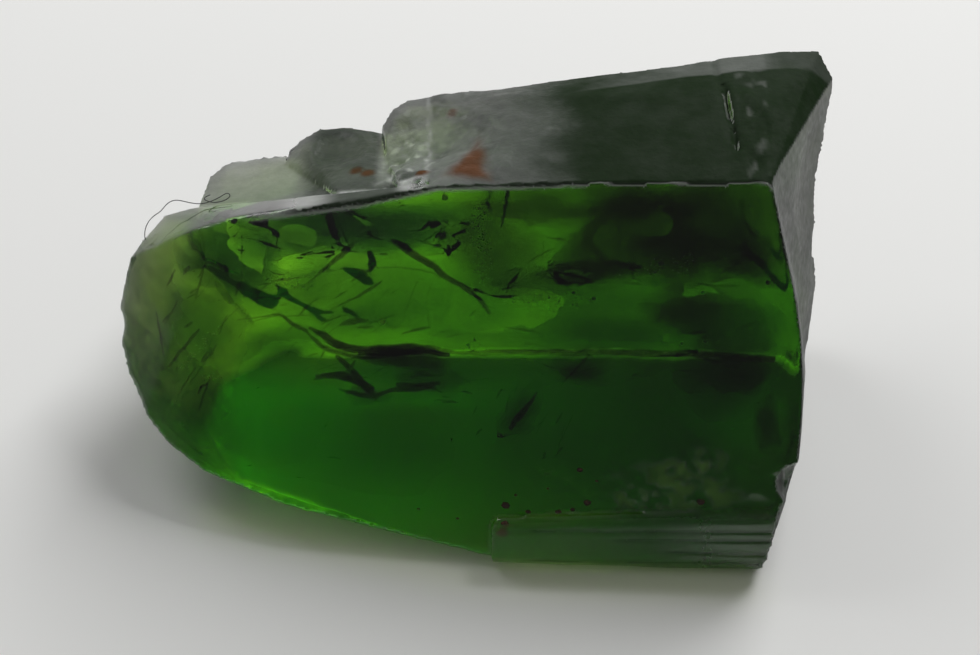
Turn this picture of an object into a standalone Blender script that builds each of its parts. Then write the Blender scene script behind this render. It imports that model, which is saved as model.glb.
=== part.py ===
"""A broken piece of a green tourmaline crystal, about 10 mm long, lying on its flat break.

The crystal grew along X. What is left of its outer skin is the striated bar along the front foot
and the narrow strip along the back edge. Every other face is a break: the wide sloping front, the
roof behind the ridge, three terraces that step down to the left, the end break and the hollow back.
Corners are in millimetres, X along the crystal, Y to the back, Z up from the surface it lies on.
"""

import math

import bmesh
import bpy
from mathutils import Matrix, Vector

MM = 0.001

# Corners of the front wedge, each row from the left tip to the right end
FOOT = [
    (-5.15, -0.20, 1.30), (-5.00, -0.70, 1.10), (-4.70, -1.35, 0.90), (-4.40, -1.70, 0.75),
    (-3.85, -2.10, 0.60), (-2.65, -2.60, 0.45), (-1.25, -2.90, 0.30), (0.10, -3.20, 0.12),
]
FRONT_SWELL = [(-4.25, -0.65, 1.85), (-2.55, -1.15, 2.00), (0.00, -1.45, 2.10), (3.00, -1.60, 2.40)]
RIDGE = [
    (-5.15, 0.20, 1.50), (-5.00, 0.65, 2.00), (-4.70, 0.70, 2.20), (-3.95, 0.60, 2.70),
    (-3.35, 0.55, 3.00), (-2.50, 0.45, 3.30), (-1.50, 0.35, 3.60), (-0.55, 0.40, 3.85),
    (1.65, 0.13, 4.20), (3.95, 0.03, 4.30),
]
LEDGE = [
    (-4.85, 0.95, 2.05), (-4.55, 1.40, 2.10), (-4.15, 1.40, 2.25), (-3.00, 1.20, 2.60), (-1.80, 0.75, 3.20),
]
FRONT_END = [
    (4.02, -0.25, 4.00), (4.18, -0.75, 3.55), (4.32, -1.15, 3.10), (4.38, -1.55, 2.75), (4.42, -1.85, 2.35),
    (4.40, -2.30, 1.90), (4.36, -2.65, 1.50), (4.10, -3.05, 0.90), (4.00, -3.25, 0.20), (4.60, 1.20, 1.20),
    (4.80, 0.25, 0.00),
]
BASE = [
    (-3.75, -0.70, 0.00), (-3.35, -1.70, 0.00), (-1.25, -2.55, 0.00), (0.10, -2.95, 0.00),
    (3.90, -3.20, 0.00), (4.50, 0.80, 0.00), (0.00, 0.85, 0.00), (-2.65, 0.75, 0.00), (-3.45, 0.20, 0.00),
]
BACK_OF_WEDGE = [(-3.60, 0.95, 1.10), (-2.00, 1.20, 1.40), (0.00, 1.60, 1.60)]

# Corners of the block behind the right half of the ridge
BLOCK_RIDGE = [(-0.65, 0.35, 3.82), (1.65, 0.13, 4.18), (3.95, 0.03, 4.29), (-0.70, 0.60, 3.74)]
BLOCK_WALL = [(-0.68, 1.50, 3.35), (-0.70, 2.15, 3.20), (-0.62, 2.78, 3.04), (0.15, 2.93, 3.12)]
ROOF_BREAK = [(0.45, 2.60, 3.36), (2.00, 2.15, 3.78), (3.40, 2.20, 3.85), (4.10, 1.75, 4.00)]
BACK_RIM = [(0.90, 3.05, 3.15), (2.55, 3.30, 3.20), (3.80, 3.40, 3.30), (4.40, 3.45, 3.40)]
END_BREAK = [
    (4.95, 3.50, 3.35), (5.15, 3.20, 3.10), (5.15, 2.70, 2.10), (5.10, 2.15, 1.60), (5.00, 1.60, 1.10),
    (4.90, 1.10, 0.60), (4.80, 0.25, 0.00), (4.40, 0.80, 0.10), (0.00, 0.80, 0.10), (-0.40, 1.40, 1.20),
]

# The bar of outer skin along the front foot, as the corners of its two ends
BAR_LEFT, BAR_RIGHT = 0.16, 4.10
BAR_LEFT_END = [
    (0.20, -3.28, 0.06), (0.16, -3.31, 0.16), (0.16, -3.12, 0.62), (0.25, -2.95, 0.70), (0.16, -2.70, 0.30),
]
BAR_RIGHT_END = [
    (3.86, -3.40, 0.05), (3.96, -3.42, 0.16), (4.05, -3.28, 0.50), (4.10, -3.14, 0.86), (4.10, -3.00, 0.96),
    (3.90, -2.80, 0.30),
]
# Striations of the bar: (Y, Z) at its left end, (Y, Z) at its right end, radius
GROOVES = [
    ((-3.13, 0.60), (-3.26, 0.70), 0.045), ((-3.20, 0.47), (-3.32, 0.56), 0.025),
    ((-3.25, 0.34), (-3.36, 0.36), 0.030), ((-3.31, 0.17), (-3.44, 0.19), 0.030),
]

# The three terraces behind the ledge, each a chunk that stands a step above the last
TERRACES = {
    "low_terrace": [
        (-4.10, 1.20, 2.24), (-4.00, 1.70, 2.12), (-3.99, 2.42, 1.82), (-3.80, 2.82, 1.70), (-3.55, 2.86, 1.73),
        (-3.20, 2.80, 1.80), (-2.90, 2.80, 1.88), (-2.30, 2.35, 2.25), (-1.90, 0.95, 2.95), (-3.65, 1.20, 1.00),
        (-3.30, 2.20, 1.30), (-1.50, 0.80, 1.00), (-1.50, 2.10, 1.60),
    ],
    "middle_terrace": [
        (-2.88, 2.45, 2.10), (-2.66, 2.72, 2.30), (-2.35, 2.82, 2.44), (-1.90, 2.78, 2.50), (-1.50, 2.66, 2.52),
        (-1.20, 2.50, 2.58), (-2.15, 1.50, 2.62), (-1.90, 0.80, 3.10), (-1.15, 0.60, 3.35), (-1.20, 1.60, 2.86),
        (-2.00, 2.30, 1.70), (-0.60, 2.50, 1.80), (-1.50, 0.80, 1.00),
    ],
    "high_terrace": [
        (-1.43, 2.55, 2.75), (-1.27, 2.75, 2.92), (-1.05, 2.85, 3.02), (-0.75, 2.82, 3.05), (-0.30, 2.92, 3.10),
        (0.20, 2.94, 3.12), (-1.30, 1.60, 2.98), (-1.10, 0.60, 3.52), (-0.75, 0.50, 3.74), (-0.72, 2.00, 3.22),
        (-0.95, 2.30, 2.10), (0.75, 2.50, 2.00), (-1.40, 0.95, 0.60), (0.30, 1.05, 0.60),
    ],
}

# Shell-shaped hollows: where on the stone, the way the stone's surface faces there, the radius of
# the ball that fits the hollow and how deep it goes
HOLLOWS = {
    "upper_end_hollow": ((4.75, 1.70, 2.80), (0.94, -0.32, 0.15), 6.0, 0.07),
    "low_terrace_hollow": ((-3.45, 2.35, 1.98), (-0.10, 0.50, 0.85), 1.0, 0.03),
    "middle_terrace_hollow": ((-2.05, 2.05, 2.62), (-0.20, 0.35, 0.90), 1.2, 0.04),
    "step_hollow": ((-1.05, 1.60, 3.14), (-0.45, 0.30, 0.85), 1.5, 0.04),
    "wall_hollow": ((-0.10, 1.70, 3.49), (-0.45, 0.25, 0.85), 2.4, 0.06),
    "left_back_hollow": ((-2.90, 1.70, 0.90), (-0.15, 0.70, -0.70), 2.2, 0.20),
    "middle_back_hollow": ((-0.80, 2.10, 1.60), (0.05, 0.80, -0.60), 2.4, 0.30),
    "right_back_hollow": ((2.20, 2.20, 1.70), (0.05, 0.85, -0.50), 4.6, 0.35),
    "end_back_hollow": ((4.30, 1.90, 1.60), (0.35, 0.80, -0.50), 2.6, 0.22),
    "foot_hollow": ((-1.60, -2.78, 0.18), (-0.10, -0.70, -0.70), 3.5, 0.04),
    "ledge_hollow": ((-4.70, 0.90, 2.20), (-0.50, 0.10, 0.85), 1.6, 0.05),
    "notch": ((4.30, -2.72, 1.22), (0.80, -0.60, 0.10), 0.30, 0.20),
    "left_notch": ((-5.13, 0.02, 1.42), (-0.90, -0.30, 0.10), 0.50, 0.05),
}

# The crack across the roof near the right end: a narrow wedge, its mouth and its bottom line
ROOF_CRACK = [
    (3.36, 2.50, 4.05), (3.56, 2.50, 4.05), (3.46, 0.65, 4.45), (3.62, 0.65, 4.45),
    (3.47, 2.45, 3.60), (3.55, 0.75, 4.06),
]

STONE_COLOUR = (0.02, 0.16, 0.03, 1.0)
STONE_IOR = 1.63


def new_collection(name):
    made = bpy.data.collections.new(name)
    bpy.context.scene.collection.children.link(made)
    return made


def object_from(bm, name, collection):
    bmesh.ops.recalc_face_normals(bm, faces=bm.faces)
    mesh = bpy.data.meshes.new(name)
    bm.to_mesh(mesh)
    bm.free()
    made = bpy.data.objects.new(name, mesh)
    collection.objects.link(made)
    return made


def chunk(name, corners, collection):
    """The convex chunk that the given corners span."""
    bm = bmesh.new()
    for corner in corners:
        bm.verts.new(Vector(corner) * MM)
    hull = bmesh.ops.convex_hull(bm, input=bm.verts)
    unused = set(hull["geom_interior"]) | set(hull["geom_unused"])
    bmesh.ops.delete(bm, geom=[g for g in unused if isinstance(g, bmesh.types.BMVert)], context="VERTS")
    return object_from(bm, name, collection)


def groove(name, left, right, radius, collection):
    """A thin rod along the bar, which cuts one striation."""
    start = Vector((BAR_LEFT + 0.25, *left)) * MM
    end = Vector((BAR_RIGHT, *right)) * MM
    along = (end - start).normalized()
    end += along * MM
    bm = bmesh.new()
    bmesh.ops.create_cone(
        bm, cap_ends=True, segments=10, radius1=radius * MM / 2, radius2=radius * MM, depth=(end - start).length
    )
    turn = Vector((0, 0, 1)).rotation_difference(along).to_matrix().to_4x4()
    bmesh.ops.transform(bm, matrix=Matrix.Translation((start + end) / 2) @ turn, verts=bm.verts)
    return object_from(bm, name, collection)


def hollow(name, at, facing, radius, depth, collection):
    """The cap of a ball that reaches the given depth into the stone."""
    facing = Vector(facing).normalized()
    centre = (Vector(at) + facing * (radius - depth)) * MM
    facet = 0.16
    subdivisions = max(3, min(7, round(math.log2(1.05 * radius / facet)) + 1))
    bm = bmesh.new()
    bmesh.ops.create_icosphere(bm, subdivisions=subdivisions, radius=radius * MM)
    bmesh.ops.translate(bm, vec=centre, verts=bm.verts)
    kept = min(radius, 0.6 + 3 * depth) * MM
    cut = bmesh.ops.bisect_plane(
        bm, geom=bm.verts[:] + bm.edges[:] + bm.faces[:], dist=1e-9,
        plane_co=centre - facing * (radius * MM - kept), plane_no=facing, clear_outer=True,
    )
    rim = [g for g in cut["geom_cut"] if isinstance(g, bmesh.types.BMEdge)]
    bmesh.ops.holes_fill(bm, edges=rim)
    return object_from(bm, name, collection)


def boolean(target, operation, collection):
    modifier = target.modifiers.new(operation.lower(), "BOOLEAN")
    modifier.operation = operation
    modifier.operand_type = "COLLECTION"
    modifier.collection = collection
    modifier.solver = "EXACT"


def stone_material():
    material = bpy.data.materials.new("green_tourmaline")
    material.use_nodes = True
    shader = material.node_tree.nodes["Principled BSDF"]
    shader.inputs["Base Color"].default_value = STONE_COLOUR
    shader.inputs["Roughness"].default_value = 0.12
    shader.inputs["Metallic"].default_value = 0.0
    shader.inputs["IOR"].default_value = STONE_IOR
    shader.inputs["Transmission Weight"].default_value = 0.6
    material.diffuse_color = STONE_COLOUR
    return material


def main():
    for old in list(bpy.data.objects):
        bpy.data.objects.remove(old)
    stone = new_collection("tourmaline")
    joined = new_collection("joined_chunks")
    cutters = new_collection("cutters")

    wedge = FOOT + FRONT_SWELL + RIDGE + LEDGE + FRONT_END + BASE + BACK_OF_WEDGE
    crystal = chunk("tourmaline_crystal", wedge, stone)
    crystal.data.materials.append(stone_material())

    chunk("back_block", BLOCK_RIDGE + BLOCK_WALL + ROOF_BREAK + BACK_RIM + END_BREAK, joined)
    chunk("striated_bar", BAR_LEFT_END + BAR_RIGHT_END, joined)
    for name, terrace in TERRACES.items():
        chunk(name, terrace, joined)
    for number, (left, right, radius) in enumerate(GROOVES, start=1):
        groove(f"groove_{number}", left, right, radius, cutters)
    for name, (at, facing, radius, depth) in HOLLOWS.items():
        hollow(name, at, facing, radius, depth, cutters)
    chunk("roof_crack", ROOF_CRACK, cutters)
    for helper in [*joined.objects, *cutters.objects]:
        helper.hide_render = True
        helper.display_type = "WIRE"
    boolean(crystal, "UNION", joined)
    boolean(crystal, "DIFFERENCE", cutters)


main()
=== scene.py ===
"""The looks of the rough green tourmaline: its fine broken surface, what shows inside it, and the light."""

import math

import bmesh
import bpy
import numpy as np
from mathutils import Matrix, Vector
from mathutils.bvhtree import BVHTree


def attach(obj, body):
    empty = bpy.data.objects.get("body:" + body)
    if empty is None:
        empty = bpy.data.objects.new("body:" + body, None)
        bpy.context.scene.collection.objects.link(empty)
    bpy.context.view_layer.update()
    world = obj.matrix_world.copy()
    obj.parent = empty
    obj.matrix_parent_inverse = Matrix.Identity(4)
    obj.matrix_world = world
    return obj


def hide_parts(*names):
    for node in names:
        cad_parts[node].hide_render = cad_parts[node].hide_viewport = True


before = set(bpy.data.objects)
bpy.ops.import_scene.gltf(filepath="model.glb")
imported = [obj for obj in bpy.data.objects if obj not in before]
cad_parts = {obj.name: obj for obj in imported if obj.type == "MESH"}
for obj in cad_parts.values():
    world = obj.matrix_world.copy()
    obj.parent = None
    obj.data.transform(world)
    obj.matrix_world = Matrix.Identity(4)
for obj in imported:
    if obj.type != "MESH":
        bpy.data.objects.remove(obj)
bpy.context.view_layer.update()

MM = 0.001
STONE_IOR = 1.63
BREAK_SLOPE = math.radians(41.35)

# How much of the remesh grid the stone fills, which sets the size of its surface faces
GRAIN_SHARE = 0.84

# Turns the cells of the noise, so that they don't line up with the crystal
SKEW = np.array(Matrix.Rotation(0.9, 3, Vector((0.6, 0.5, 0.62)).normalized()))

# What the stone and the tints inside it take from the light: colour and density per metre
STONE_ABSORBS = (0.68, 0.948, 0.0, 1), 1950
SMOKE_ABSORBS = (0.15, 0.05, 0.0, 1), 5000
FILM_ABSORBS = (0.35, 0.22, 0.30, 1), 60000
HAZE_ABSORBS = (0.02, 0.25, 0.12, 1), 3500
COLD_GREEN_ABSORBS = (0.10, 0.95, 0.70, 1), 1000

# Colours of the surface: clear breaks, dull breaks and painted shade, moss patches and rust stains
CLEAR_BREAK = (0.95, 0.95, 0.95, 1)
DULL_BREAK_AND_SHADE = (0.012, 0.022, 0.010, 1)
MOSS_GREEN = (0.20, 0.42, 0.08, 1)
RUST_BROWN = (0.090, 0.030, 0.006, 1)

# How far the planes of the cracks lie out from the stone's middle, in mm
UPPER_PLANE = 0.9
TIP_PLANE = 1.45
FINE_PLANE = 1.0

# The least depth of what lies inside the stone, below its surface, in mm
CRACK_DEPTH = 0.05
CLOUD_DEPTH = 0.06
FLECK_DEPTH = 0.008

FIBRE_RADIUS = 0.0065

# The two windows: size, place in metres and power in watts
LAMP_SIZE = 0.054
RIGHT_LAMP = (0.045, 0.077, 0.065), 0.108
LEFT_LAMP = (-0.054, 0.072, 0.065), 0.031

# The glow along the foot: name, place and length in mm, turn in degrees and power in watts
GLOW_WIDTH = 0.35
GLOW_COLOUR = (0.55, 0.70, 0.10)
FOOT_LAMPS = [
    ("foot_glow", (-1.95, -2.98, 0.34), 4.2, -15.6, 0.0000006),
    ("bar_glow", (2.10, -3.62, 0.34), 3.8, -2.0, 0.0000005),
]

# The camera, with its aim and distance in mm
CAMERA_LENS = 100
CAMERA_RISE = math.radians(50)
CAMERA_AIM = (0.15, -0.63, 2.0)
CAMERA_DISTANCE = 38.05

# The ridge seen from above: along and across, in mm
RIDGE_LINE = [
    (-5.15, 0.20), (-5.00, 0.65), (-4.70, 0.70), (-3.95, 0.60), (-3.35, 0.55), (-2.50, 0.45), (-1.50, 0.35),
    (-0.55, 0.40), (1.65, 0.13), (3.95, 0.03),
]

# Small rust stains on the terraces: place in mm and reach
RUST_SPOTS = [
    (-0.79, 0.80, 3.65, 0.10), (-1.75, 1.47, 2.96, 0.09), (-1.58, 1.36, 3.04, 0.10),
    (-0.39, 2.36, 3.22, 0.08),
]

# Pale patches of the roof: place in mm and reach each way
ROOF_PATCHES = [
    (0.11, 2.31, 3.37, 0.14, 0.30, 0.2), (1.06, 1.48, 3.80, 0.25, 0.2, 0.2),
    (0.92, 2.17, 3.57, 0.2, 0.15, 0.2), (0.77, 0.75, 3.92, 0.3, 0.15, 0.2),
]

# Moss-green patches of the band above the bar: place in mm, reach and strength
BAND_PATCHES = [
    (2.75, -2.62, 1.28, 0.20, 0.12), (3.11, -2.53, 1.44, 0.14, 0.14), (2.58, -2.87, 0.94, 0.42, 0.10),
    (3.21, -2.83, 1.09, 0.20, 0.10), (2.05, -2.80, 0.92, 0.16, 0.07),
]

# Grooves along the bar: height at its left and right end, half width and where the groove starts
STRIAE = [
    (0.47, 0.56, 0.022, 1.6), (0.34, 0.36, 0.020, 2.3), (0.17, 0.19, 0.028, 0.4), (0.60, 0.70, 0.026, 0.3),
]

# Dark cracks and films in the upper half, and one film of painted shade, on a plane 0.9 mm out from the
# stone's middle: along, up, width
UPPER_STREAKS = [
    [
        (-2.30, 0.84, 0.04), (-2.02, 0.66, 0.12), (-1.62, 0.56, 0.10), (-1.20, 0.56, 0.15),
        (-0.75, 0.60, 0.14), (-0.35, 0.55, 0.07),
    ],
    [(-2.25, 0.20, 0.05), (-1.95, 0.24, 0.11), (-1.66, 0.14, 0.14), (-1.42, 0.02, 0.06)],
    [(-1.95, 0.50, 0.05), (-1.72, 0.30, 0.10), (-1.55, 0.06, 0.12), (-1.38, -0.12, 0.05)],
    [(-1.10, 0.10, 0.05), (-0.80, 0.06, 0.10), (-0.50, 0.14, 0.05)],
    # Painted shade: a long dark film along the back edge of the base, where the floor's contact shadow shows
    # through
    [
        (-0.20, 0.58, 0.04), (0.70, 0.59, 0.08), (1.50, 0.57, 0.09), (2.60, 0.58, 0.08),
        (3.50, 0.56, 0.09), (4.25, 0.50, 0.10),
    ],
    [(-2.04, 1.07, 0.014), (-1.69, 1.24, 0.041), (-1.40, 1.41, 0.055), (-1.26, 1.50, 0.028)],
    [(-2.42, 1.37, 0.014), (-2.08, 1.61, 0.041), (-1.78, 1.88, 0.069), (-1.65, 2.06, 0.041)],
    [
        (-1.13, 2.08, 0.05), (-0.86, 1.91, 0.09), (-0.57, 1.74, 0.08), (-0.23, 1.54, 0.07),
        (0.11, 1.32, 0.06), (0.22, 1.11, 0.03),
    ],
    [(-1.88, 0.86, 0.028), (-1.70, 0.96, 0.069), (-1.50, 0.98, 0.028)],
    [
        (-2.35, 0.79, 0.028), (-2.21, 0.62, 0.055), (-2.04, 0.57, 0.069), (-1.72, 0.49, 0.055),
        (-1.39, 0.47, 0.083), (-1.04, 0.55, 0.083), (-0.68, 0.61, 0.083), (-0.42, 0.60, 0.055),
        (-0.06, 0.55, 0.041), (0.36, 0.55, 0.028), (0.93, 0.57, 0.028), (1.78, 0.54, 0.028),
    ],
    [
        (-2.28, 0.16, 0.028), (-2.04, 0.19, 0.055), (-1.82, 0.22, 0.055), (-1.72, 0.34, 0.041),
        (-1.67, 0.43, 0.028),
    ],
    [
        (-1.93, 0.00, 0.028), (-1.67, -0.07, 0.069), (-1.44, -0.09, 0.069), (-1.24, -0.02, 0.041),
        (-1.04, 0.04, 0.083), (-0.78, 0.03, 0.069), (-0.53, 0.12, 0.028),
    ],
    [
        (-3.33, 0.93, 0.014), (-2.96, 0.97, 0.028), (-2.67, 1.03, 0.041), (-2.52, 0.84, 0.055),
        (-2.32, 0.78, 0.055),
    ],
    [(-2.95, 1.44, 0.014), (-2.77, 1.48, 0.028), (-2.58, 1.51, 0.028), (-2.42, 1.54, 0.014)],
    [(-3.25, 1.27, 0.014), (-2.70, 1.25, 0.018), (-2.19, 1.20, 0.014)],
    [(-1.91, 1.58, 0.014), (-1.63, 1.61, 0.021), (-1.33, 1.58, 0.014)],
    [(-2.64, 1.33, 0.014), (-2.41, 1.41, 0.021), (-2.17, 1.51, 0.014)],
    [(-0.38, 0.76, 0.014), (-0.25, 0.82, 0.021), (-0.15, 0.87, 0.014)],
    [
        (-1.40, 1.68, 0.014), (-1.07, 1.71, 0.018), (-0.80, 1.68, 0.022), (-0.57, 1.63, 0.021),
        (-0.32, 1.59, 0.014),
    ],
    [(-0.54, 1.57, 0.011), (-0.63, 1.40, 0.017), (-0.66, 1.15, 0.017), (-0.62, 0.86, 0.011)],
    [(-0.66, 1.57, 0.011), (-0.83, 1.43, 0.017), (-0.93, 1.20, 0.014), (-0.99, 1.00, 0.011)],
    [(0.88, 0.01, 0.028), (0.77, -0.16, 0.069), (0.63, -0.33, 0.097), (0.49, -0.53, 0.055)],
    [(1.21, 0.10, 0.014), (1.49, 0.38, 0.041), (1.64, 0.58, 0.041), (1.83, 0.67, 0.014)],
    [(2.06, 0.53, 0.014), (2.62, 0.52, 0.021), (3.19, 0.59, 0.014)],
]

# The same near the tip, on a plane closer to the front break
TIP_STREAKS = [
    [(-3.63, 0.61, 0.014), (-3.73, 0.48, 0.041), (-3.84, 0.35, 0.028)],
    [(-3.89, 0.82, 0.028), (-4.04, 0.66, 0.055), (-4.21, 0.47, 0.041), (-4.33, 0.27, 0.028)],
    [(-4.55, 1.06, 0.028), (-4.46, 0.78, 0.041), (-4.38, 0.47, 0.028)],
    [(-3.27, 2.11, 0.014), (-3.24, 1.74, 0.02), (-3.30, 1.37, 0.014)],
    [(-2.10, -0.96, 0.014), (-2.00, -0.93, 0.028), (-1.91, -0.97, 0.014)],
    [(-3.60, -0.46, 0.014), (-3.54, -0.41, 0.018), (-3.49, -0.35, 0.011)],
]

# Smoky clouds: along, up, out, three half sizes and a turn in degrees
SMOKE = [
    (-1.47, -0.05, 0.7, 0.42, 0.20, 0.14, 5), (-0.92, 0.48, 0.4, 0.60, 0.20, 0.18, 0),
    (-0.65, 0.12, 0.7, 0.60, 0.30, 0.10, 0), (0.29, 2.10, 0.7, 0.80, 0.60, 0.12, 0),
    (1.85, 2.15, 0.7, 0.80, 0.60, 0.24, 20), (1.55, 1.70, 1.3, 0.80, 0.20, 0.18, 4),
    (3.30, 2.35, 0.6, 1.20, 0.75, 0.34, 0), (3.20, 1.20, 0.5, 0.80, 0.40, 0.20, 0),
    (2.70, 1.95, 1.5, 1.00, 0.45, 0.20, 0), (3.60, 0.45, 0.9, 0.80, 0.75, 0.18, 10),
    (4.10, -0.40, 1.2, 0.20, 0.40, 0.14, 0), (1.50, 0.32, 0.4, 0.45, 0.22, 0.14, 0),
    (0.66, -0.28, 0.6, 0.30, 0.45, 0.10, -30), (3.75, 1.90, 1.5, 0.60, 0.50, 0.20, 0),
    (0.90, 2.55, 1.2, 1.20, 0.25, 0.16, -3), (2.20, 2.60, 1.7, 1.10, 0.40, 0.22, -2),
    (0.80, 1.52, 1.5, 0.70, 0.26, 0.10, 5), (-2.75, 2.05, 1.2, 0.90, 0.42, 0.04, -6),
    (-1.50, 2.38, 1.7, 0.85, 0.26, 0.04, -4),
]

# Dark green haze under the left half of the ridge and around the cracks, in the same order
GREEN_HAZE = [
    (-1.94, 2.30, 0.9, 1.70, 0.55, 0.34, -4), (-3.40, 1.80, 1.0, 0.75, 0.75, 0.34, 0),
    (-2.70, 0.60, 1.0, 0.75, 0.30, 0.20, 8), (-2.55, 1.95, 1.2, 0.90, 0.40, 0.16, -6),
    (-0.60, 2.30, 1.3, 0.90, 0.45, 0.22, -6), (-3.90, 0.90, 1.1, 0.55, 0.65, 0.14, 20),
    (-3.90, -0.40, 1.4, 0.45, 0.50, 0.08, 0), (-0.60, 0.30, 0.4, 1.60, 0.30, 0.14, 0),
    (0.20, 1.80, 0.9, 0.50, 0.80, 0.05, 0), (-0.90, 1.35, 1.3, 2.20, 0.90, 0.15, 0),
    (1.60, 1.10, 1.2, 2.00, 0.80, 0.12, 0), (-1.60, 2.25, 1.7, 1.60, 0.40, 0.20, -4),
    (-3.20, 1.80, 1.5, 0.60, 0.60, 0.16, -10), (-1.60, 1.00, 0.6, 0.90, 0.25, 0.08, 12),
    (-2.20, 1.50, 0.6, 0.50, 0.35, 0.10, 40), (2.00, 0.85, 0.5, 1.20, 0.30, 0.12, 0),
    (3.60, 0.90, 0.6, 0.80, 0.50, 0.22, 0), (1.20, 0.52, 0.5, 2.60, 0.07, 0.10, 0),
]

# Wide bodies of colder green in the left half, in the same order
COLD_GREEN = [
    (-3.00, -0.20, 1.3, 1.10, 1.00, 0.22, 0), (-2.00, -0.60, 1.6, 1.70, 0.80, 0.16, -6),
    (-3.90, 0.50, 1.3, 0.55, 0.80, 0.16, 0),
]

# Fields of short thin cracks: from and to along, from and to up, how many and their lean in degrees
CRACK_FIELDS = [
    (-3.2, -0.4, 0.30, 1.90, 70, 24), (-2.2, 0.2, -0.15, 0.60, 36, 4), (-4.3, -3.2, -0.2, 1.60, 30, 50),
    (0.6, 4.0, 0.20, 2.20, 60, 10), (0.0, 1.4, -0.9, 0.1, 14, 55),
]

# Healed cracks full of tiny pale grains: along, up, out, half sizes, turn and number of grains
HEALED = [
    (0.12, 2.00, 1.4, 0.16, 0.62, 0.10, 0, 150), (-3.90, 0.55, 1.45, 0.08, 0.50, 0.05, -42, 60),
    (-3.70, 0.16, 1.4, 0.20, 0.05, 0.05, 5, 24), (-4.28, -0.62, 0.9, 0.08, 0.12, 0.05, 0, 30),
    (-2.60, 1.48, 1.2, 0.30, 0.10, 0.05, 0, 30), (2.60, 1.80, 1.2, 0.60, 0.14, 0.10, 5, 40),
    (1.10, 1.30, 1.0, 0.80, 0.12, 0.10, 0, 40), (0.0, 0.62, 1.0, 0.30, 0.06, 0.05, -10, 20),
]

# Painted glints: bright specks that stand in for glints off cracks and small bubbles, with place in mm and
# size
PAINTED_GLINTS = [
    (1.40, 0.47, 1.61, 0.028), (1.68, 0.41, 1.56, 0.030), (2.54, 0.70, 1.81, 0.030),
    (2.62, 0.79, 1.90, 0.035), (3.24, 0.48, 1.62, 0.028), (-0.08, -0.08, 1.13, 0.026),
    (3.26, -0.03, 1.17, 0.026), (2.93, -0.06, 1.14, 0.024), (-1.30, -0.34, 1.83, 0.045),
    (-0.41, 0.94, 2.96, 0.045),
]
# A painted orange glint, made the same way
PAINTED_ORANGE_GLINT = [(4.10, 0.57, 1.70, 0.035)]

# Red-brown grains just under the band and the bar's left end
RUST_GRAINS = [
    (0.37, -2.73, 0.68, 0.060), (0.33, -3.06, 0.50, 0.075), (0.36, -3.00, 0.60, 0.05),
    (1.39, -2.46, 1.14, 0.040), (1.50, -2.77, 0.80, 0.045), (1.10, -2.83, 0.65, 0.050),
    (0.68, -2.80, 0.63, 0.040), (3.05, -2.85, 0.92, 0.060), (1.30, -2.84, 0.72, 0.035),
    (0.50, -2.64, 0.80, 0.025), (0.95, -2.62, 0.92, 0.022), (1.62, -2.60, 1.06, 0.025),
    (-0.85, -2.78, 0.62, 0.022), (-0.30, -2.85, 0.52, 0.022),
]

# The dust fibre that lies over the low terrace
FIBRE = [
    (-4.76, 0.79, 2.25), (-4.79, 0.92, 2.27), (-4.75, 1.09, 2.30), (-4.65, 1.20, 2.33),
    (-4.56, 1.24, 2.35), (-4.50, 1.36, 2.38), (-4.38, 1.42, 2.42), (-4.24, 1.38, 2.42),
    (-4.06, 1.34, 2.40), (-3.91, 1.36, 2.40), (-3.78, 1.41, 2.43), (-3.69, 1.45, 2.46),
    (-3.62, 1.50, 2.48), (-3.56, 1.46, 2.46), (-3.62, 1.40, 2.43), (-3.78, 1.36, 2.40),
    (-3.92, 1.38, 2.42), (-3.98, 1.42, 2.45), (-3.86, 1.46, 2.47),
]


def hashed(cells, seed):
    """A repeatable number from 0 to 1 for each whole-number cell."""
    mixed = cells[:, 0] * 73856093 ^ cells[:, 1] * 19349663 ^ cells[:, 2] * 83492791 ^ (seed * 2654435761)
    mixed = (mixed ^ (mixed >> 13)) * 1274126177
    mixed = mixed ^ (mixed >> 16)
    return (mixed & 0xFFFFFF) / float(0xFFFFFF)


def lumps(points, size, seed):
    """Smooth noise from -1 to 1 whose bumps are about the given size."""
    scaled = points @ SKEW / size
    cells = np.floor(scaled).astype(np.int64)
    part = scaled - cells
    part = part * part * (3 - 2 * part)
    total = np.zeros(len(points))
    for dx in (0, 1):
        for dy in (0, 1):
            for dz in (0, 1):
                weight = np.abs(1 - dx - part[:, 0]) * np.abs(1 - dy - part[:, 1])
                weight *= np.abs(1 - dz - part[:, 2])
                total += weight * hashed(cells + np.array((dx, dy, dz)), seed)
    return total * 2 - 1


def bowls(points, size, seed):
    """0 in the middle of each shell-shaped bowl of a break, rising to about 1 on the crests between them."""
    scaled = points / size
    cells = np.floor(scaled).astype(np.int64)
    nearest = np.full(len(points), 9.0)
    for dx in (-1, 0, 1):
        for dy in (-1, 0, 1):
            for dz in (-1, 0, 1):
                cell = cells + np.array((dx, dy, dz))
                middle = cell + np.stack([hashed(cell, seed + k) for k in range(3)], axis=1)
                nearest = np.minimum(nearest, ((scaled - middle) ** 2).sum(axis=1))
    return nearest


def near(points, middle, reach, soft=0.35):
    """1 within reach of a middle point, fading to 0 just outside it."""
    away = np.linalg.norm((points - np.array(middle)) / np.array(reach), axis=1)
    return np.clip((1 + soft - away) / (2 * soft), 0, 1)


def ramp(values, low, high):
    """0 below low, 1 above high, smooth between them."""
    part = np.clip((values - low) / (high - low), 0, 1)
    return part * part * (3 - 2 * part)


def triangle(points, corners, soft):
    """1 inside a triangle seen from above, fading to 0 over the soft distance outside it."""
    inside = np.ones(len(points))
    middle = np.mean(corners, axis=0)
    for k in range(3):
        start, end = np.array(corners[k]), np.array(corners[(k + 1) % 3])
        across = np.array((end[1] - start[1], start[0] - end[0]))
        across = across / np.linalg.norm(across)
        if (middle - start) @ across < 0:
            across = -across
        inside = np.minimum(inside, ramp((points[:, :2] - start) @ across, -soft, soft))
    return inside


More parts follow.
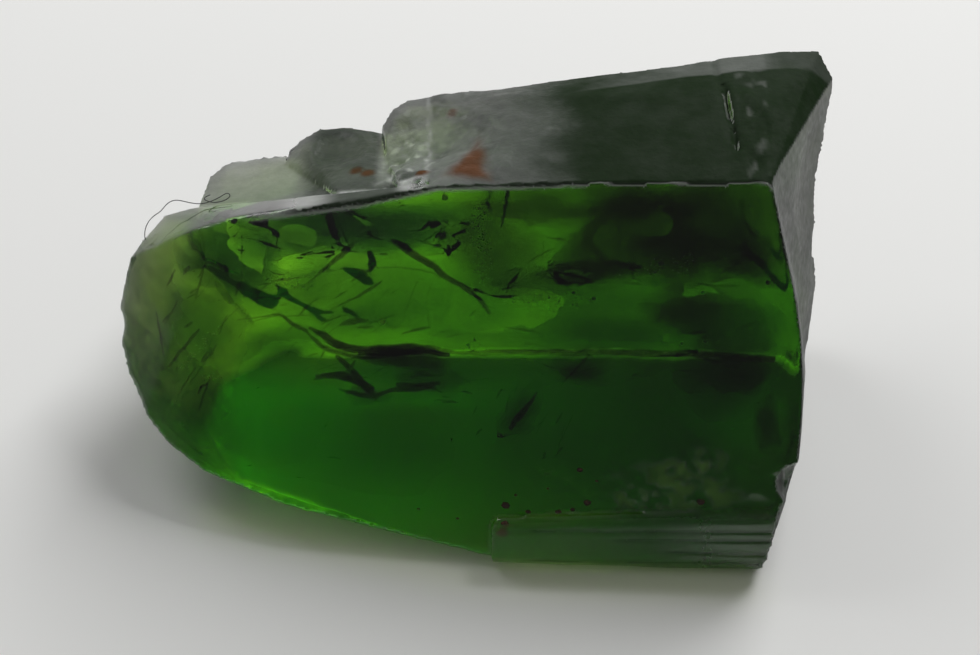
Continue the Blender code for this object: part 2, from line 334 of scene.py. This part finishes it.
def zones(points, normals):
    """How far each point belongs to each zone of the stone, from 0 to 1."""
    x, y, z = points.T
    up, behind = normals[:, 2], normals[:, 1]
    found = {}
    # The large breaks
    found["base"] = ramp(-up, 0.75, 0.9) * (1 - ramp(z, 0.06, 0.14))
    found["back"] = ramp(behind, 0.15, 0.35) * (1 - ramp(up, 0.0, 0.25)) * (1 - found["base"])
    found["front"] = ramp(-behind, 0.3, 0.5) * ramp(up, 0.1, 0.3)
    found["top"] = ramp(up, 0.62, 0.78) * ramp(behind, -0.25, 0.0)
    found["end"] = ramp(normals[:, 0], 0.55, 0.75)
    found["left_under"] = ramp(-up, 0.2, 0.4) * ramp(-x, 2.9, 3.5)
    found["right"] = ramp(x + 0.5 * lumps(points, 1.5, 21), -0.8, 1.6)
    found["tip"] = ramp(-x, 3.9, 4.5) * (1 - found["base"])

    # The roof, the wall and the terraces behind the ridge
    ridge = np.interp(x, [place[0] for place in RIDGE_LINE], [place[1] for place in RIDGE_LINE])
    on_top = ramp(up, 0.35, 0.5) * ramp(behind, -0.55, -0.3) * ramp(y - ridge, -0.07, -0.01)
    to_roof = ramp(x + 0.25 * lumps(points, 0.5, 26), 0.0, 1.4)
    found["roof"] = on_top * to_roof
    found["wall"] = on_top * ramp(x, -0.85, -0.65) * (1 - to_roof)
    off_ledge = ramp(y + 0.25 * x, 0.42, 0.56)
    left_of_wall = 1 - ramp(x, -0.85, -0.65)
    found["high"] = on_top * off_ledge * ramp(x, -1.5, -1.35) * left_of_wall * ramp(y, 0.85, 1.15)
    found["middle"] = on_top * off_ledge * ramp(x, -2.80, -2.35) * left_of_wall - found["high"]
    found["low"] = on_top * off_ledge * (1 - ramp(x, -2.80, -2.35))
    found["crumbly"] = near(points, (-1.0, 1.35, 3.15), (0.42, 0.75, 0.6))
    found["ledge"] = on_top * (1 - off_ledge) * (1 - ramp(x, -1.2, -0.8))

    # Lines and strips
    from_cleavage = (x + 0.715 + 0.04 * lumps(points, 0.25, 25)) / 0.03
    found["cleavage"] = on_top * ramp(y, 0.5, 0.8) * np.exp(-(from_cleavage ** 2))
    crest = ramp(up, 0.55, 0.7) * ramp(-behind, 0.02, 0.12) * (1 - ramp(-behind, 0.60, 0.66))
    found["crest"] = crest * ramp(x, -3.4, -2.4) * (1 - ramp(np.abs(y - ridge - 0.02), 0.07, 0.13))
    found["flank"] = ramp(-normals[:, 0], 0.30, 0.5) * ramp(y, 0.85, 1.15) * ramp(-x, 3.1, 3.4) * (1 - on_top)
    found["strip"] = on_top * ramp(x, 1.2, 1.6) * ramp(y - 0.135 * x, 2.27, 2.33)
    found["crack"] = on_top * ramp(y, 0.5, 0.9) * np.exp(-(((x - 3.50 + 0.035 * y) / 0.05) ** 2))
    found["skin"] = on_top * ramp(x - 0.055 * y, 3.93, 3.97) * (1 - ramp(x - 0.055 * y, 4.07, 4.12))
    ribs = on_top * ramp(x, 3.60, 3.70) * (1 - found["skin"])
    found["ribs"] = ribs * (1 - ramp(x, 4.05, 4.2)) * (1 - found["strip"])

    # The bar along the foot and the band above it
    found["bar"] = ramp(x, 0.15, 0.2) * ramp(-y, 3.02, 3.08) * (1 - found["base"])
    found["band"] = found["front"] * ramp(x, 0.2, 0.9) * ramp(-y, 2.25, 2.5) * (1 - found["bar"])

    # Stains
    wavy = points + 0.05 * np.stack((lumps(points, 0.25, 23), lumps(points, 0.25, 24), 0 * x), axis=1)
    found["rust"] = triangle(wavy, ((-0.03, 1.52), (-0.47, 0.58), (0.17, 0.42)), 0.12) * ramp(z, 3.2, 3.3)
    for *place, reach in RUST_SPOTS:
        found["rust"] = np.maximum(found["rust"], 0.8 * near(points, place, (reach, reach, reach)))
    return found


def new_object(name, data):
    """An object at the origin, in the scene."""
    made = bpy.data.objects.new(name, data)
    bpy.context.scene.collection.objects.link(made)
    return made


def as_mesh(name, bm):
    """The finished bmesh as a mesh."""
    mesh = bpy.data.meshes.new(name)
    bm.to_mesh(mesh)
    bm.free()
    return mesh


def add_part(whole, bm):
    """Adds one finished body to the bmesh that gathers them."""
    part = as_mesh("part", bm)
    whole.from_mesh(part)
    bpy.data.meshes.remove(part)


def as_real_mesh(holder):
    """The holder's mesh as its curve or modifiers shape it. The holder goes."""
    depsgraph = bpy.context.evaluated_depsgraph_get()
    mesh = bpy.data.meshes.new_from_object(holder.evaluated_get(depsgraph))
    bpy.data.objects.remove(holder)
    return mesh


def mend(bm):
    """Takes out the few places where the surface touches itself, and closes them again."""
    for _ in range(6):
        knots = {v for v in bm.verts if not v.is_manifold}
        knots |= {v for e in bm.edges if len(e.link_faces) != 2 for v in e.verts}
        if not knots:
            break
        bmesh.ops.delete(bm, geom=list(knots), context="VERTS")
        bmesh.ops.delete(bm, geom=[v for v in bm.verts if not v.link_faces], context="VERTS")
        closed = bmesh.ops.holes_fill(bm, edges=[e for e in bm.edges if e.is_boundary], sides=0)
        bmesh.ops.triangulate(bm, faces=closed["faces"])
    bmesh.ops.recalc_face_normals(bm, faces=bm.faces)


def smooth(bm, verts, times):
    """Wears a set of vertices down towards their neighbours."""
    for _ in range(times):
        bmesh.ops.smooth_vert(bm, verts=verts, factor=0.5, use_axis_x=True, use_axis_y=True, use_axis_z=True)


def fine_stone():
    """The CAD solid with a surface fine enough for ripples, grains and worn edges."""
    bm = bmesh.new()
    bm.from_mesh(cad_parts["tourmaline_crystal"].data)
    bmesh.ops.remove_doubles(bm, verts=bm.verts, dist=1e-7)
    bmesh.ops.scale(bm, vec=Vector((1 / MM, 1 / MM, 1 / MM)), verts=bm.verts)
    holder = new_object("rough_stone", as_mesh("rough_stone", bm))
    remesh = holder.modifiers.new("grain", "REMESH")
    remesh.mode = "SHARP"
    remesh.octree_depth = 8
    remesh.scale = GRAIN_SHARE
    remesh.sharpness = 1.0
    fine = as_real_mesh(holder)

    bm = bmesh.new()
    bm.from_mesh(fine)
    mend(bm)
    smooth(bm, bm.verts, 3)
    worn_edge = [v for v in bm.verts if v.co.z < 0.28 and v.co.y > -2.2]
    smooth(bm, worn_edge, 16)
    bm.normal_update()
    bm.to_mesh(fine)
    bm.free()

    count = len(fine.vertices)
    points = np.empty(count * 3)
    fine.vertices.foreach_get("co", points)
    points = points.reshape(-1, 3)
    normals = np.empty(count * 3)
    fine.vertex_normals.foreach_get("vector", normals)
    normals = normals.reshape(-1, 3)
    found = zones(points, normals)
    finish = surface_finish(points, found)
    points = points + normals * surface_height(points, found)[:, None]
    points[:, 2] = np.maximum(points[:, 2], 0.0)
    fine.vertices.foreach_set("co", (points * MM).ravel())
    fine.update()
    fine.name = "tourmaline"
    fine.polygons.foreach_set("use_smooth", [True] * len(fine.polygons))
    for name, values in finish.items():
        layer = fine.attributes.new(name, "FLOAT", "POINT")
        layer.data.foreach_set("value", values.astype(np.float32))
    return new_object("tourmaline", fine)


def striations(points):
    """1 along the grooves of the bar, fading to 0 beside them."""
    x, _, z = points.T
    along = (x - 0.16) / 3.94
    lines = np.zeros(len(points))
    for left, right, width, start in STRIAE:
        away = (z - left - (right - left) * along) / width
        lines = np.maximum(lines, np.exp(-(away ** 2)) * ramp(x, start, start + 0.5))
    return lines


def surface_height(points, found):
    """How far the surface stands out at each point, in millimetres."""
    x, y, z = points.T
    height = 0.008 * lumps(points, 0.9, 1) + 0.004 * lumps(points, 0.40, 2)
    slanted = np.stack((0.35 * (x - 0.9 * z), x * 0.9 + z, y), axis=1)
    broken = found["back"] * (1 - 0.5 * found["right"]) * ramp(x, -4.4, -3.6) * ramp(z, 0.1, 0.6)
    height += broken * (0.12 * bowls(points, 1.1, 31) + 0.10 * bowls(slanted, 0.42, 35) - 0.08)
    height += found["back"] * ramp(z, 0.15, 0.6) * 0.012 * lumps(slanted, 0.16, 37)
    height += (found["low"] + found["high"]) * (0.025 * bowls(points, 0.6, 41) - 0.01)
    height += found["middle"] * 0.02 * lumps(points, 0.35, 43)
    height += found["wall"] * (0.02 * lumps(points, 0.22, 44) + 0.012 * lumps(points, 0.12, 46))
    height += found["roof"] * 0.008 * lumps(points, 0.3, 45)
    height += found["ribs"] * 0.030 * lumps(np.stack((x, 0.25 * y, z), axis=1) @ SKEW.T, 0.10, 49)
    height -= 0.03 * found["crack"]
    height += found["crumbly"] * 0.035 * lumps(points, 0.11, 47)
    height += found["band"] * (0.07 * bowls(points, 0.45, 48) - 0.03)
    height -= 0.014 * found["bar"] * striations(points)
    shell = np.sqrt((x - 4.6) ** 2 + (y + 3.0) ** 2 + (z - 0.4) ** 2)
    ripple = 0.0004 * np.sin(shell * 26 + 2 * lumps(points, 1.0, 5))
    height += found["front"] * ramp(x, -0.5, 1.0) * (1 - found["bar"]) * ripple
    return height


def surface_finish(points, found):
    """Attributes of the surface: how frosted, clear, dark, rusty, mossy, glossy and grainy each point is. The
    darkness holds painted shade and painted highlights as well as dull breaks.
    """
    x, y, z = points.T
    terraces = found["low"] + found["middle"] + found["high"] + found["wall"]
    # Painted shade: the ledge is made dark and dull towards its right end
    painted_dim_ledge = found["ledge"] * ramp(x, -2.9, -1.9)
    frost = 0.05 + 0.02 * lumps(points, 0.5, 51)
    frost += 0.45 * np.maximum(found["base"], found["left_under"]) + 0.04 * found["back"]
    frost += 0.45 * terraces + 0.60 * found["roof"] + 0.45 * found["end"] + 0.10 * found["crumbly"]
    frost += 0.5 * found["flank"] + 0.4 * found["bar"] * (1 - ramp(x, 2.2, 3.6))
    frost += 0.8 * found["crest"] + 0.12 * found["bar"] + 0.10 * found["band"] + 0.9 * painted_dim_ledge
    clear = 1 - 0.95 * found["roof"] - 0.30 * found["back"] * found["right"] - 0.35 * terraces
    clear -= 0.35 * found["middle"] + 0.15 * found["crumbly"] + 0.10 * found["base"] + 0.25 * found["end"]
    clear -= 0.015 * found["tip"] + 0.03 * found["bar"] * ramp(x, 2.0, 3.6) + 0.9 * painted_dim_ledge
    clear -= 0.12 * found["flank"] + 0.20 * found["base"] * (1 - ramp(x, 0.5, 2.5))
    clear -= 0.3 * found["cleavage"] + 0.9 * found["crest"]
    ridge_haze = near(points, (-2.1, 0.2, 3.3), (1.7, 0.55, 0.6), 0.6) * (1 - found["top"])
    clear -= 0.010 * found["front"] * ridge_haze
    moss = np.zeros(len(points))
    tufts = ramp(lumps(points, 0.11, 53) + 0.5 * lumps(points, 0.05, 54), -0.2, 0.6)
    for *place, reach, amount in BAND_PATCHES:
        patch = near(points, place, (1.3 * reach, 0.8 * reach, 0.8 * reach), 0.9)
        moss += amount * found["band"] * patch * tufts
    clear -= 3 * moss
    mottled = lumps(points, 0.35, 58) + 0.6 * lumps(points, 0.14, 59) + 0.4 * lumps(points, 0.07, 57)
    soft_mottled = np.clip(mottled, -1, 1)
    dark = found["back"] * (0.78 + 0.17 * found["right"])
    on_top = found["roof"] * (0.997 - 0.005 * soft_mottled - 0.015 * (1 - ramp(x, 0.7, 1.5)))
    on_top += found["low"] * (0.77 + 0.05 * soft_mottled) + found["high"] * 0.86
    on_top += found["middle"] * (0.99 - 0.012 * mottled - 0.02 * (1 - ramp(y, 1.3, 2.0)))
    crumbs = 0.09 * (1 - ramp(x, 0, 0.6)) * soft_mottled
    on_top += found["wall"] * (0.90 + 0.075 * ramp(x, -0.5, 0.3) + crumbs)
    on_top = np.maximum(on_top, 0.955 * painted_dim_ledge)
    dark = np.maximum(dark, on_top)
    # Painted sheen: the strip along the back of the roof is lightened, more towards its right end
    strip_painted_sheen = (0.02 + 0.07 * ramp(x, 1.2, 3.8) + 0.015 * mottled) * (1 - 0.7 * ramp(x, 4.0, 4.4))
    dark -= found["roof"] * found["strip"] * strip_painted_sheen
    dark -= 0.12 * found["cleavage"] * (1 + 0.5 * mottled)
    # Painted shade: the crest of the ridge is kept dark, so the lamps leave no bright line along it
    dark = np.maximum(dark, 0.985 * found["crest"])
    dark = np.maximum(dark, found["end"] * 0.96)
    dark = np.maximum(dark, found["left_under"] * 0.75)
    # Painted shade: the back break is darkened near the floor, along its foot
    painted_shade_at_foot = found["back"] * (1 - ramp(z, 0.25, 0.42))
    painted_shade_at_foot *= ramp(x + 0.4 * lumps(points, 0.9, 27), -1.6, -0.2)
    dark = np.maximum(dark, 0.93 * painted_shade_at_foot)
    dark = np.maximum(dark, found["base"] * (0.06 + 0.80 * ramp(x + 0.5 * lumps(points, 1.2, 22), 0.9, 3.2)))
    # Painted sparkle: bright specks lighten the crumbly wall
    dark -= 0.35 * found["crumbly"] * ramp(lumps(points, 0.10, 60), 0.1, 0.6)
    pale = sum(near(points, row[:3], row[3:], 0.8) for row in ROOF_PATCHES)
    dark -= 0.05 * np.clip(pale, 0, 1) * found["top"] * ramp(mottled, -0.6, 0.8)
    # Painted glints: light lines along the ribs
    dark -= 0.05 * found["ribs"] * ramp(lumps(np.stack((x, 0.2 * y, z), axis=1) @ SKEW.T, 0.08, 56), 0.2, 0.7)
    # Painted shade in the crack groove, and a darker band along the skin near the roof's right end
    crack_shade_and_skin = 0.35 * found["crack"] + 0.2 * found["skin"] * found["roof"]
    dark = dark + (1 - dark) * np.clip(crack_shade_and_skin, 0, 1)
    # Painted shade darkens the grooves along the bar
    painted_groove_shade = found["bar"] * striations(points)
    gloss = 0.50 * found["roof"] + 0.40 * found["middle"] + 0.15 * found["wall"]
    gloss += 0.3 * found["rust"] + 0.4 * painted_dim_ledge + 0.3 * painted_groove_shade + 0.45 * found["crest"]
    gloss += 0.30 * found["bar"] * (1 - ramp(x, 2.2, 3.6))
    return {
        "frost": np.clip(frost, 0.03, 1),
        "clear": np.clip(clear * (1 - 0.9 * found["rust"]), 0, 1),
        "dark": np.clip(np.maximum(dark, 0.8 * painted_groove_shade), 0, 1),
        "rust": np.clip(found["rust"] * (0.85 + 0.25 * mottled), 0, 1),
        "moss": np.clip(moss * 30, 0, 1),
        "gloss": 0.5 - np.clip(gloss, 0, 0.5),
        "grain": np.clip(terraces + found["roof"] + 0.1 * found["base"] + 0.3 * found["end"] + 0.03, 0, 1),
    }


def new_material(name):
    """A material with its nodes, links and main shader."""
    material = bpy.data.materials.new(name)
    material.use_nodes = True
    nodes, links = material.node_tree.nodes, material.node_tree.links
    return material, nodes, links, nodes["Principled BSDF"]


def calculate(nodes, operation):
    made = nodes.new("ShaderNodeMath")
    made.operation = operation
    return made


def map_range(nodes, from_min, from_max, to_min, to_max):
    made = nodes.new("ShaderNodeMapRange")
    made.inputs["From Min"].default_value = from_min
    made.inputs["From Max"].default_value = from_max
    made.inputs["To Min"].default_value = to_min
    made.inputs["To Max"].default_value = to_max
    return made


def read_attribute(nodes, name):
    made = nodes.new("ShaderNodeAttribute")
    made.attribute_name = name
    return made.outputs["Fac"]


def mix_colours(nodes, first, second):
    made = nodes.new("ShaderNodeMix")
    made.data_type = "RGBA"
    made.inputs["A"].default_value = first
    made.inputs["B"].default_value = second
    return made


def grain_noise(nodes, links, size, detail):
    """Noise whose grains are about the given size in millimetres, fixed to the stone."""
    place = nodes.new("ShaderNodeTexCoord")
    noise = nodes.new("ShaderNodeTexNoise")
    noise.inputs["Scale"].default_value = 1 / (size * MM)
    noise.inputs["Detail"].default_value = detail
    links.new(place.outputs["Object"], noise.inputs["Vector"])
    return noise.outputs["Fac"]


def absorb_light(nodes, links, colour, density):
    """What the body of a material takes from the light that passes it."""
    absorb = nodes.new("ShaderNodeVolumeAbsorption")
    absorb.inputs["Color"].default_value = colour
    absorb.inputs["Density"].default_value = density
    links.new(absorb.outputs[0], nodes["Material Output"].inputs["Volume"])


def tourmaline_material():
    """Clear green stone whose breaks are glossy, frosted, dull or stained as the attributes say; the darkness
    attribute also carries painted shade and painted highlights.
    """
    material, nodes, links, shader = new_material("tourmaline")
    shader.inputs["IOR"].default_value = STONE_IOR
    links.new(read_attribute(nodes, "clear"), shader.inputs["Transmission Weight"])
    fine = grain_noise(nodes, links, 0.12, 4)
    polish = calculate(nodes, "MULTIPLY_ADD")
    links.new(fine, polish.inputs[0])
    links.new(read_attribute(nodes, "frost"), polish.inputs[1])
    half_frost = calculate(nodes, "MULTIPLY")
    half_frost.inputs[1].default_value = 0.5
    links.new(read_attribute(nodes, "frost"), half_frost.inputs[0])
    links.new(half_frost.outputs[0], polish.inputs[2])
    links.new(polish.outputs[0], shader.inputs["Roughness"])
    bump = nodes.new("ShaderNodeBump")
    bump.inputs["Distance"].default_value = 0.012 * MM
    links.new(grain_noise(nodes, links, 0.08, 3), bump.inputs["Height"])
    links.new(read_attribute(nodes, "grain"), bump.inputs["Strength"])
    links.new(bump.outputs["Normal"], shader.inputs["Normal"])
    tint = mix_colours(nodes, CLEAR_BREAK, DULL_BREAK_AND_SHADE)
    links.new(read_attribute(nodes, "dark"), tint.inputs["Factor"])
    mossy = mix_colours(nodes, CLEAR_BREAK, MOSS_GREEN)
    links.new(tint.outputs["Result"], mossy.inputs["A"])
    links.new(read_attribute(nodes, "moss"), mossy.inputs["Factor"])
    stain = mix_colours(nodes, CLEAR_BREAK, RUST_BROWN)
    links.new(mossy.outputs["Result"], stain.inputs["A"])
    links.new(read_attribute(nodes, "rust"), stain.inputs["Factor"])
    links.new(stain.outputs["Result"], shader.inputs["Base Color"])
    links.new(read_attribute(nodes, "gloss"), shader.inputs["Specular IOR Level"])
    absorb_light(nodes, links, *STONE_ABSORBS)
    return material


def clear_film_material(name, colour, density):
    """A tint inside the stone: it bends no light, and only takes some of it away."""
    material, nodes, links, shader = new_material(name)
    shader.inputs["Base Color"].default_value = (1, 1, 1, 1)
    shader.inputs["IOR"].default_value = 1.0
    shader.inputs["Roughness"].default_value = 0.0
    shader.inputs["Transmission Weight"].default_value = 1.0
    absorb_light(nodes, links, colour, density)
    return material


def speck_material(name, first, second, roughness):
    """Small solid bits in or on the stone, mottled between two colours."""
    material, nodes, links, shader = new_material(name)
    mottle = mix_colours(nodes, first, second)
    links.new(grain_noise(nodes, links, 0.05, 3), mottle.inputs["Factor"])
    links.new(mottle.outputs["Result"], shader.inputs["Base Color"])
    shader.inputs["Roughness"].default_value = roughness
    return material


def tilted(out=0.0):
    """Turns inner planes square to the front break: X along, Y up the slope, Z out towards the break."""
    return Matrix.Rotation(BREAK_SLOPE, 4, "X") @ Matrix.Translation((0, 0, out * MM))


def stone_tree(stone):
    """The finished surface of the stone, to keep inner pieces within it."""
    bm = bmesh.new()
    bm.from_mesh(stone.data)
    tree = BVHTree.FromBMesh(bm)
    bm.free()
    return tree


def keep_inside(mesh, depth):
    """Pulls every vertex that lies outside the stone, or too near its surface, back to the given depth."""
    for vert in mesh.vertices:
        place, normal, _, _ = surface.find_nearest(vert.co)
        if (vert.co - place).dot(normal) > -depth:
            vert.co = place - normal * depth


def finish_piece(name, mesh, material, depth=None):
    """Names a finished mesh, keeps it below the stone's surface where a depth is given, and dresses it."""
    mesh.name = name
    if depth:
        keep_inside(mesh, depth * MM)
    mesh.materials.clear()
    mesh.materials.append(material)
    mesh.polygons.foreach_set("use_smooth", [True] * len(mesh.polygons))
    made = new_object(name, mesh)
    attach(made, "root")
    return made


def tubes(lines, order):
    """Closed tubes along smooth lines, each point with its own radius, all in millimetres."""
    curve = bpy.data.curves.new("lines", "CURVE")
    curve.dimensions = "3D"
    curve.bevel_depth = MM
    curve.bevel_resolution = 2
    curve.use_fill_caps = True
    for line in lines:
        spline = curve.splines.new("NURBS")
        spline.points.add(len(line) - 1)
        for point, (x, y, z, radius) in zip(spline.points, line):
            point.co = (x * MM, y * MM, z * MM, 1)
            point.radius = radius
        spline.order_u = min(order, len(line))
        spline.use_endpoint_u = True
        spline.resolution_u = 6
    return as_real_mesh(new_object("lines", curve))


def streaks(name, out, lines, material):
    """Flat dark blades inside the stone, on one plane behind the front break."""
    mesh = tubes([[(x, y, 0, 0.6 * width) for x, y, width in line] for line in lines], 3)
    bm = bmesh.new()
    bm.from_mesh(mesh)
    bmesh.ops.remove_doubles(bm, verts=bm.verts, dist=1e-8)
    bmesh.ops.scale(bm, vec=Vector((1, 1, 0.45)), verts=bm.verts)
    points = np.array([v.co for v in bm.verts]) / MM
    for k, axis in enumerate((0, 1)):
        shift = 0.014 * lumps(points, 0.09, 71 + k) * MM
        for vert, step in zip(bm.verts, shift):
            vert.co[axis] += step
    bmesh.ops.transform(bm, matrix=tilted(out), verts=bm.verts)
    bmesh.ops.recalc_face_normals(bm, faces=bm.faces)
    bm.to_mesh(mesh)
    bm.free()
    return finish_piece(name, mesh, material, CRACK_DEPTH)


def clouds(name, rows, material, wave=0.4, fineness=4):
    """Lens-shaped bodies inside the stone, each with a place on the tilted planes, half sizes and a turn."""
    whole = bmesh.new()
    for number, (x, y, out, half_x, half_y, half_out, turn) in enumerate(rows):
        bm = bmesh.new()
        bmesh.ops.create_icosphere(bm, subdivisions=fineness, radius=1)
        ball = np.array([v.co for v in bm.verts])
        swell = 1 + wave * lumps(ball + 7.0 * number, 0.7, 81)
        swell += 0.5 * wave * lumps(ball + 7.0 * number, 0.3, 82)
        for vert, factor in zip(bm.verts, swell):
            vert.co.z *= 1.02 - vert.co.x ** 2 - vert.co.y ** 2
            vert.co *= factor
        bmesh.ops.scale(bm, vec=Vector((half_x, half_y, half_out)) * MM, verts=bm.verts)
        bmesh.ops.transform(bm, matrix=Matrix.Rotation(math.radians(turn), 4, "Z"), verts=bm.verts)
        bmesh.ops.translate(bm, vec=Vector((x, y, out)) * MM, verts=bm.verts)
        add_part(whole, bm)
    bmesh.ops.transform(whole, matrix=tilted(), verts=whole.verts)
    bmesh.ops.recalc_face_normals(whole, faces=whole.faces)
    return finish_piece(name, as_mesh(name, whole), material, CLOUD_DEPTH)


def fine_cracks():
    """Short thin cracks scattered over the fields, each with its own lean and length."""
    lines = []
    for number, (x_low, x_high, up_low, up_high, count, lean) in enumerate(CRACK_FIELDS):
        cells = np.stack((np.arange(count), np.full(count, number), np.ones(count, int)), axis=1)
        chance = [hashed(cells, 131 + k) for k in range(5)]
        for k in range(count):
            x = x_low + (x_high - x_low) * chance[0][k]
            up = up_low + (up_high - up_low) * chance[1][k]
            reach = 0.06 + 0.22 * chance[2][k] ** 2
            turn = math.radians(lean + 50 * (chance[3][k] - 0.5))
            width = 0.015 + 0.045 * chance[4][k] ** 2
            step_x, step_up = reach * math.cos(turn), reach * math.sin(turn)
            lines.append([
                (x - step_x, up - step_up, 0.4 * width), (x, up + 0.12 * reach, width),
                (x + step_x, up + step_up, 0.4 * width),
            ])
    return lines


def healed_grains():
    """Scatters the grains of each healed crack, thickest in its middle."""
    rows = []
    for number, (x, y, out, half_x, half_y, half_out, turn, count) in enumerate(HEALED):
        cells = np.stack((np.arange(count), np.full(count, number), np.zeros(count, int)), axis=1)
        spread = np.stack([hashed(cells, 101 + k) + hashed(cells, 111 + k) - 1 for k in range(3)], axis=1)
        size = 0.005 + 0.009 * hashed(cells, 121) ** 2
        turned = Matrix.Rotation(math.radians(turn), 4, "Z")
        matrix = tilted() @ Matrix.Translation(Vector((x, y, out)) * MM) @ turned
        for step, radius in zip(spread, size):
            place = matrix @ (Vector((step[0] * half_x, step[1] * half_y, step[2] * half_out)) * MM)
            rows.append((*(place / MM), radius))
    return rows


def flecks(name, rows, material, fineness=2):
    """Small flat grains at their own places in the stone, in millimetres."""
    whole = bmesh.new()
    for number, (x, y, z, size) in enumerate(rows):
        bm = bmesh.new()
        bmesh.ops.create_icosphere(bm, subdivisions=fineness, radius=size * MM)
        ball = np.array([v.co for v in bm.verts]) / (size * MM)
        swell = 1 + 0.45 * lumps(ball + 5.0 * number, 0.8, 91)
        for vert, factor in zip(bm.verts, swell):
            vert.co *= factor
        bmesh.ops.scale(bm, vec=Vector((1, 0.8, 0.45)), verts=bm.verts)
        bmesh.ops.transform(bm, matrix=tilted(), verts=bm.verts)
        bmesh.ops.translate(bm, vec=Vector((x, y, z)) * MM, verts=bm.verts)
        add_part(whole, bm)
    return finish_piece(name, as_mesh(name, whole), material, FLECK_DEPTH)


def floor():
    """Plain pale paper a hair below the stone."""
    bm = bmesh.new()
    bmesh.ops.create_grid(bm, x_segments=1, y_segments=1, size=0.25)
    bmesh.ops.translate(bm, vec=Vector((0, 0, -0.015)) * MM, verts=bm.verts)
    made = new_object("floor", as_mesh("floor", bm))
    material, _, _, shader = new_material("pale_paper")
    shader.inputs["Base Color"].default_value = (0.90, 0.90, 0.885, 1)
    shader.inputs["Roughness"].default_value = 0.9
    shader.inputs["Specular IOR Level"].default_value = 0.0
    made.data.materials.append(material)
    return made


def daylight():
    """A dim room: pale paper rises behind the stone, and it is darkest on the viewer's side."""
    world = bpy.data.worlds.new("daylight")
    bpy.context.scene.world = world
    world.use_nodes = True
    nodes, links = world.node_tree.nodes, world.node_tree.links
    backdrop = nodes["Background"]
    place = nodes.new("ShaderNodeTexCoord")
    split = nodes.new("ShaderNodeSeparateXYZ")
    links.new(place.outputs["Generated"], split.inputs[0])
    walls = map_range(nodes, -0.1, 0.7, 0.10, 0.34)
    links.new(split.outputs["Y"], walls.inputs["Value"])
    low = map_range(nodes, 0.02, 0.30, 1.0, 0.0)
    links.new(split.outputs["Z"], low.inputs["Value"])
    behind = map_range(nodes, -0.2, 0.4, 0.0, 0.6)
    links.new(split.outputs["Y"], behind.inputs["Value"])
    paper = calculate(nodes, "MULTIPLY_ADD")
    links.new(low.outputs[0], paper.inputs[0])
    links.new(behind.outputs[0], paper.inputs[1])
    links.new(walls.outputs[0], paper.inputs[2])
    links.new(paper.outputs[0], backdrop.inputs["Strength"])
    backdrop.inputs["Color"].default_value = (1.0, 1.0, 0.99, 1)


def lamp(name, place, length, width, power):
    """A flat lamp that shines down until it is turned."""
    data = bpy.data.lights.new(name, "AREA")
    data.shape = "RECTANGLE"
    data.size = length
    data.size_y = width
    data.energy = power
    made = new_object(name, data)
    made.location = place
    return made


def window_light(name, place, power):
    """A wide lamp turned to the stone."""
    made = lamp(name, place, LAMP_SIZE, LAMP_SIZE, power)
    made.rotation_euler = (-Vector(place)).to_track_quat("-Z", "Y").to_euler()


def foot_glow(name, place, length, turn, power):
    """The yellow-green light that passes the stone and falls on the floor along its foot."""
    made = lamp(name, Vector(place) * MM, length * MM, GLOW_WIDTH * MM, power)
    made.data.color = GLOW_COLOUR
    made.rotation_euler = (0, 0, math.radians(turn))


def camera():
    data = bpy.data.cameras.new("camera")
    data.lens = CAMERA_LENS
    data.sensor_width = 36
    data.clip_start = 0.001
    data.clip_end = 10
    made = new_object("camera", data)
    back = Vector((0, -math.cos(CAMERA_RISE), math.sin(CAMERA_RISE)))
    made.location = Vector(CAMERA_AIM) * MM + back * CAMERA_DISTANCE * MM
    made.rotation_euler = (-back).to_track_quat("-Z", "Y").to_euler()
    bpy.context.scene.camera = made


camera()
daylight()
window_light("right_lamp", *RIGHT_LAMP)
window_light("left_lamp", *LEFT_LAMP)
for row in FOOT_LAMPS:
    foot_glow(*row)
bpy.context.scene.view_settings.view_transform = "Standard"
floor()

stone = fine_stone()
stone.data.materials.clear()
stone.data.materials.append(tourmaline_material())
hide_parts("tourmaline_crystal")
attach(stone, "root")
surface = stone_tree(stone)

film = clear_film_material("dark_film", *FILM_ABSORBS)
clouds("smoky_clouds", SMOKE, clear_film_material("smoke", *SMOKE_ABSORBS))
clouds("green_haze", GREEN_HAZE, clear_film_material("green_haze", *HAZE_ABSORBS), wave=0.3)
clouds("cold_green", COLD_GREEN, clear_film_material("cold_green", *COLD_GREEN_ABSORBS), wave=0.2)
streaks("upper_cracks_and_shade_line", UPPER_PLANE, UPPER_STREAKS, film)
streaks("tip_cracks", TIP_PLANE, TIP_STREAKS, film)
streaks("fine_cracks", FINE_PLANE, fine_cracks(), film)
veil = speck_material("pale_dust", (0.80, 0.80, 0.82, 1), (0.55, 0.62, 0.50, 1), 0.8)
flecks("healed_cracks", healed_grains(), veil, fineness=1)
# Painted glints: pale and orange specks stand in for glints of light inside the stone
glint = speck_material("painted_glint", (0.70, 0.78, 0.35, 1), (0.85, 0.88, 0.70, 1), 0.3)
flecks("painted_glints", PAINTED_GLINTS, glint)
orange_glint = speck_material("painted_orange_glint", (0.60, 0.25, 0.08, 1), (0.70, 0.40, 0.15, 1), 0.4)
flecks("painted_orange_glint", PAINTED_ORANGE_GLINT, orange_glint)
rust = speck_material("rust_grain", (0.08, 0.018, 0.010, 1), (0.20, 0.05, 0.03, 1), 0.6)
flecks("rust_grains", RUST_GRAINS, rust)
lint = speck_material("dust_fibre", (0.03, 0.03, 0.035, 1), (0.08, 0.08, 0.09, 1), 0.7)
finish_piece("dust_fibre", tubes([[(*place, FIBRE_RADIUS) for place in FIBRE]], 4), lint)
